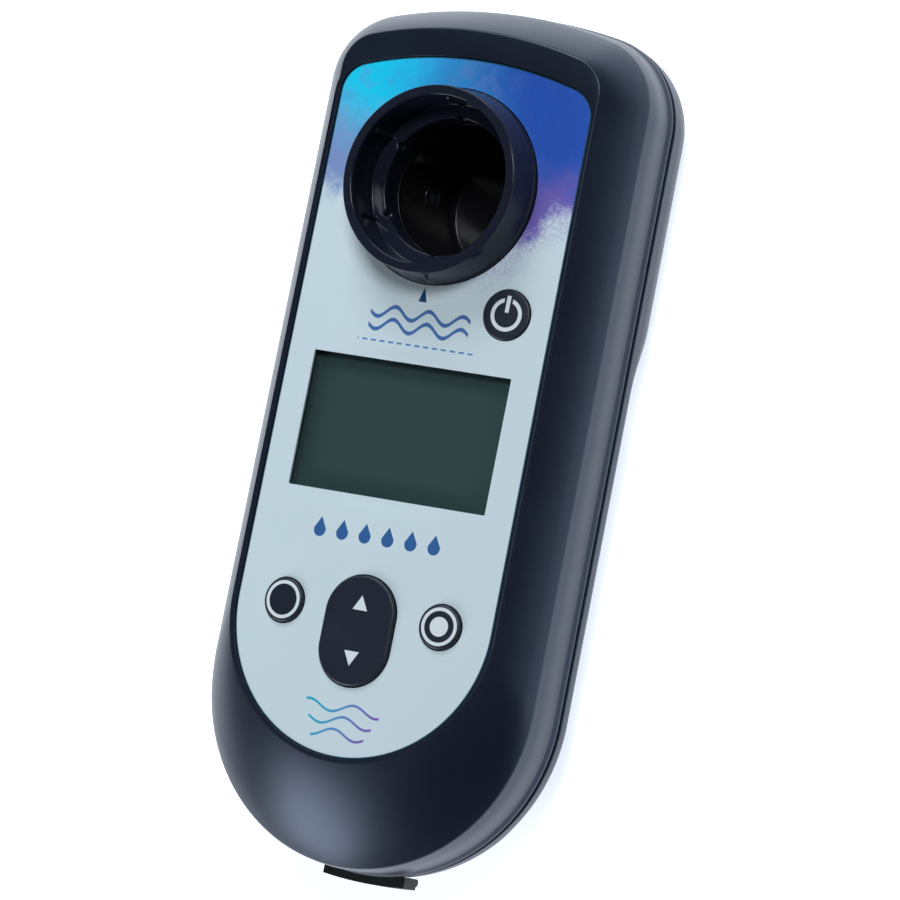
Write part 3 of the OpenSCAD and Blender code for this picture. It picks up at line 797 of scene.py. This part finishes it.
def face_label():
    """Printed film on the crown of the face, cut out for the collar, window and keys."""
    outer = curve(LABEL, COARSE)
    holes = [circle(20.1, (0, WELL_Y), 128)]
    holes.append(rectangle(SCREEN[0] / 2, SCREEN[1] / 2, (0, SCREEN[2]), 0.25, 4))
    holes.append(circle(POWER_R + 0.12, POWER_AT, 72))
    holes += [circle(KEY_R + 0.12, (s * KEY_X, KEY_Y), 72) for s in (-1, 1)]
    holes.append(stadium(ROCKER_R + 0.2, ROCKER_HALF, (0, ROCKER_Y)))
    near = curve(inset(LABEL, 0.45), COARSE)
    band_points, band_faces = loft([ring(outer, 0.0), ring(near, 0.0)])
    band_points[:, 2] = crown(band_points[:, 0], FACE_Z)
    middle = patch(near, holes, 2.2, lambda x, y: crown(x, FACE_Z))
    cuts = []
    for loop in [outer] + holes:
        top = ring(loop, crown(loop[:, 0], FACE_Z))
        cuts.append(loft([top, top - (0, 0, 0.55)]))
    piece = make("face_print", [(band_points, band_faces), middle] + cuts, "case", ["face_overlay"],
                 LABEL_INK, 0.0)
    xy = np.zeros(len(piece.data.vertices) * 3)
    piece.data.vertices.foreach_get("co", xy)
    xy = xy.reshape(-1, 3)[:, :2] / MM
    rim = np.where(inside(xy, near, -0.02), 1.0, 0.0)
    layer = piece.data.attributes.new("rim", "FLOAT", "POINT")
    layer.data.foreach_set("value", rim.astype(np.float32))


face_label()


# ---------------------------------------------------------------- the well
def turned(radii, z, around=(0.0, WELL_Y)):
    """A ring of radius r(a) about the well axis at height z."""
    n = len(radii)
    a = np.linspace(0, 2 * np.pi, n, endpoint=False)
    return np.column_stack([around[0] + radii * np.cos(a), around[1] + radii * np.sin(a),
                            np.full(n, float(z))])


def bumps(n, degrees, width):
    """Sum of exp(-(d / width)^2) over the given angles, all in degrees, at n places round a circle."""
    a = np.linspace(0, 360, n, endpoint=False)[:, None]
    d = (a - np.array(degrees)[None, :] + 180) % 360 - 180
    return np.exp(-np.square(d / width)).sum(axis=1)


def collar():
    """Collar: tapered outside, flat rim, ribbed inner wall, ledge with notches, start of the bore."""
    n = 360
    one = np.ones(n)
    six = np.arange(30, 360, 60)
    wall = MOUTH_R - 0.55 * bumps(n, six, 1.5)
    notch = BORE_R + 0.9 * bumps(n, six, 2.6)
    mark = 0.28 * bumps(n, [270], 0.9)
    stations = [(turned(BORE_R * one, 29.8), 0), (turned(19.9 * one, 29.8), 0)]
    stations.append((turned(COLLAR_R * one, FACE_Z + 0.35), 0.25))
    stations.append((turned(19.62 * one - mark, FACE_Z + 0.8), 0.2))
    stations.append((turned(19.5 * one - mark, FACE_Z + 2.2), 0))
    stations.append((turned(19.4 * one, FACE_Z + 2.6), 0))
    stations.append((turned(RIM_R * one, RIM_Z), 0.38))
    stations.append((turned(MOUTH_R * one + 0.1, RIM_Z), 0.42))
    stations.append((turned(MOUTH_R * one, RIM_Z - 1.6), 0.2))
    stations.append((turned(wall, RIM_Z - 1.9), 0.2))
    stations.append((turned(wall, LEDGE_Z), 0.45))
    stations.append((turned(notch, LEDGE_Z), 0.4))
    stations.append((turned(notch, LEDGE_Z - 1.6), 0.3))
    stations.append((turned(BORE_R * one, LEDGE_Z - 2.0), 0))
    make("collar_ring", [loft(rounded(stations), loop=True)], "case", ["well_collar"], COLLAR, 0.0)


def chamber():
    """Bore below the ledge: round wall with guide ribs, a step, and a floor with a shallow dish."""
    n = 288
    one = np.ones(n)
    rib = bumps(n, [34, 154, 274], 4.2)
    bore = BORE_R - 0.05
    stations = [(turned(16.2 * one, 2.3), 0), (turned(16.2 * one, 29.5), 0.2)]
    stations.append((turned(bore * one, 29.5), 0.2))
    stations.append((turned(bore * one, 27.6), 0.1))
    stations.append((turned(bore - 1.5 * rib, 27.0), 0.1))
    stations.append((turned(bore - 1.5 * rib, FLOOR_Z + 1.2), 0.4))
    stations.append((turned(bore * one - 0.6, FLOOR_Z), 0.5))
    stations.append((turned(6.0 * one, FLOOR_Z + 0.05), 0))
    stations.append((turned(2.0 * one, FLOOR_Z + 0.12), 0))
    make("bore_lining", [loft(rounded(stations), pole_start=True, pole_end=True)], "case",
         ["optics_chamber"], CHAMBER, 0.0)


def lens(name, node, side):
    """A small glossy dome in a ring on the bore wall, on the light path."""
    a = np.linspace(0, 2 * np.pi, 48, endpoint=False)

    def disc(r, out):
        return np.column_stack([np.full(48, side * (BORE_R + 0.6 - out)), WELL_Y + r * np.cos(a),
                                LIGHT_Z + r * np.sin(a)])
    stations = [(disc(3.1, 0.0), 0), (disc(3.1, 0.75), 0.15), (disc(2.5, 0.75), 0.12),
                (disc(2.4, 0.45), 0.1), (disc(1.6, 0.62), 0), (disc(0.8, 0.70), 0)]
    make(name, [loft(rounded(stations), pole_start=True, pole_end=True)], "case", [node],
         LENS, 0.0)


LENS = tinted_paint("lens_glass", (0.02, 0.03, 0.045), 0.05)
collar()
chamber()
lens("lamp_lens", "led_window", -1)
lens("detector_lens", "detector_window", 1)


# ---------------------------------------------------------------- the keys
def round_key(name, node, at, r, top_r, proud, paint):
    """A round key whose top follows the crown: wall, rounded edge, nearly flat top."""
    def level(radius, lift):
        xy = circle(radius, at, 96)
        return ring(xy, crown(xy[:, 0], FACE_Z + lift))
    stations = [(ring(circle(r, at, 96), KEY_BASE), 0), (level(r, -0.35), 0.15), (level(top_r, proud), 0.32),
                (level(top_r - 0.9, proud + 0.03), 0), (level(top_r * 0.4, proud + 0.06), 0)]
    make(name, [loft(rounded(stations, 7), pole_start=True, pole_end=True)], node, [node], paint, 0.0)


def rocker():
    """The rocker key: stadium outline, rounded edge, top on the crown with a shallow waist."""
    def level(r, lift):
        xy = stadium(r, ROCKER_HALF, (0, ROCKER_Y))
        dip = 0.22 * np.exp(-np.square((xy[:, 1] - ROCKER_Y) / 3.2)) * (1 - r / ROCKER_R)
        return ring(xy, crown(xy[:, 0], FACE_Z + lift) - dip)
    stations = [(ring(stadium(ROCKER_R, ROCKER_HALF, (0, ROCKER_Y)), KEY_BASE), 0)]
    stations.append((level(ROCKER_R, -0.2), 0.1))
    stations.append((level(ROCKER_R - 0.22, 0.8), 0.42))
    for r in (6.9, 6.0, 5.0, 4.0, 3.0, 2.0, 1.0, 0.0):
        stations.append((level(r, 0.82), 0))
    make("rocker_cap", [loft(rounded(stations, 7), pole_start=True)], "rocker_key", ["rocker_key"],
         key_paint("key_arrows", arrow_symbol), 0.0)


round_key("power_cap", "power_key", POWER_AT, POWER_R, POWER_R - 0.12, 0.35,
          key_paint("key_power", power_symbol))
round_key("back_cap", "back_key", (-KEY_X, KEY_Y), KEY_R, KEY_R - 0.3, 0.75,
          key_paint("key_ring", ring_symbol(-KEY_X, False)))
round_key("enter_cap", "enter_key", (KEY_X, KEY_Y), KEY_R, KEY_R - 0.3, 0.75,
          key_paint("key_dot", ring_symbol(KEY_X, True)))
rocker()


# ---------------------------------------------------------------- CAD nodes kept as they are
def dress(nodes, material, bevel=0.0):
    """Gives CAD nodes a material and, where they are seen, a small rounded edge."""
    for node in nodes:
        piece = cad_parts[node]
        piece.data.materials.clear()
        piece.data.materials.append(material)
        if bevel:
            weld = piece.modifiers.new("weld", "WELD")
            weld.merge_threshold = 1e-6
            edge = piece.modifiers.new("edge", "BEVEL")
            edge.width = bevel * MM
            edge.segments = 3
            edge.limit_method = "ANGLE"
            edge.angle_limit = 0.7
            edge.harden_normals = True


dress(["battery_cover"], CASE, 0.25)
dress(["usb_cover"], RUBBER, 0.5)
dress(["case_seal", "collar_seal", "cover_seal"], RUBBER)
dress(["foot_pads"], RUBBER, 0.2)
dress(["display_window"], window_paint())
dress(["lcd_panel"], display_paint())
dress(["lcd_bezel"], moulded("frame_black", (0.010, 0.010, 0.011), 0.5))
dress(["lcd_strip"], rubber_paint("strip_rubber", (0.30, 0.13, 0.16)))
dress(["keypad_mat"], rubber_paint("mat_rubber", (0.06, 0.065, 0.07)))
dress(["power_pill", "back_pill", "enter_pill", "rocker_pills"], rubber_paint("carbon_pill"))
dress(["main_board", "led_board", "detector_board"], board_paint())
dress(["light_source"], tinted_paint("lamp_clear", (0.70, 0.70, 0.62), 0.06))
dress(["optical_filter"], tinted_paint("filter_green", (0.05, 0.22, 0.10), 0.05))
STEEL = metal_paint("plain_steel", (0.60, 0.61, 0.63), 0.18, (0.2, 1.0, 1.0))
dress(["usb_port", "detector", "cover_screws", "case_screws", "board_screws"], STEEL)
dress(["contact_springs", "contact_plates"], metal_paint("nickel", (0.66, 0.64, 0.60), 0.14))
dress(["cell_left", "cell_middle", "cell_right"], cell_paint(), 0.3)
dress(["back_plate"], plate_paint())


# ---------------------------------------------------------------- stage, light and camera
def floor():
    """A pale table top that the tester lies on."""
    p = Paint("table_top")
    cloud = p.noise(0.004, 3.0)
    base = p.mix((0.90, 0.91, 0.92), (0.93, 0.935, 0.94), cloud)
    material = p.finish(Base_Color=base, Roughness=cloud * 0.1 + 0.6,
                        Emission_Color=(0.90, 0.97, 1.08), Emission_Strength=0.85)
    mesh = bpy.data.meshes.new("table")
    half, low = 3.0, -0.0003
    corners = [(sx * half, sy * half, low) for sx, sy in ((-1, -1), (1, -1), (1, 1), (-1, 1))]
    mesh.from_pydata(corners, [], [(0, 1, 2, 3)])
    mesh.materials.append(material)
    table = bpy.data.objects.new("table", mesh)
    bpy.context.scene.collection.objects.link(table)


def softbox(name, place, size, power, colour):
    """A rectangular area light at place, facing the origin."""
    light = bpy.data.lights.new(name, "AREA")
    light.shape = "RECTANGLE"
    light.size, light.size_y = size
    light.energy = power
    light.color = colour
    lamp = bpy.data.objects.new(name, light)
    lamp.location = place
    lamp.rotation_euler = (-Vector(place)).to_track_quat("-Z", "Y").to_euler()
    bpy.context.scene.collection.objects.link(lamp)


def camera():
    """Long lens, high over the lower right of the case, rolled a little."""
    data = bpy.data.cameras.new("view")
    data.sensor_width = 36.0
    data.lens = 222.6
    data.clip_end = 20.0
    eye = bpy.data.objects.new("view", data)
    forward = Vector((-0.46446, 0.06846, -0.88294)).normalized()
    up = Vector((-0.14048, 0.97868, 0.14979))
    right = forward.cross(up).normalized()
    up = right.cross(forward)
    turn = Matrix((right, up, -forward)).transposed().to_4x4()
    eye.matrix_world = Matrix.Translation((0.52283, -0.07640, 1.00627)) @ turn
    bpy.context.scene.collection.objects.link(eye)
    bpy.context.scene.camera = eye


def room():
    """Dim even surround."""
    world = bpy.data.worlds.new("room")
    world.use_nodes = True
    back = world.node_tree.nodes["Background"]
    back.inputs[0].default_value = (0.80, 0.88, 1.0, 1.0)
    back.inputs[1].default_value = 0.03
    bpy.context.scene.world = world


floor()
room()
softbox("end_box", (-0.35, 1.50, 1.00), (0.9, 0.7), 17.0, (0.90, 0.96, 1.0))
softbox("side_box", (0.50, 0.70, 1.70), (0.4, 0.6), 17.0, (0.92, 0.97, 1.0))
softbox("fill_box", (-1.1, -1.5, 0.8), (0.9, 0.9), 21.0, (0.92, 0.96, 1.0))
camera()
bpy.context.scene.view_settings.view_transform = "Standard"
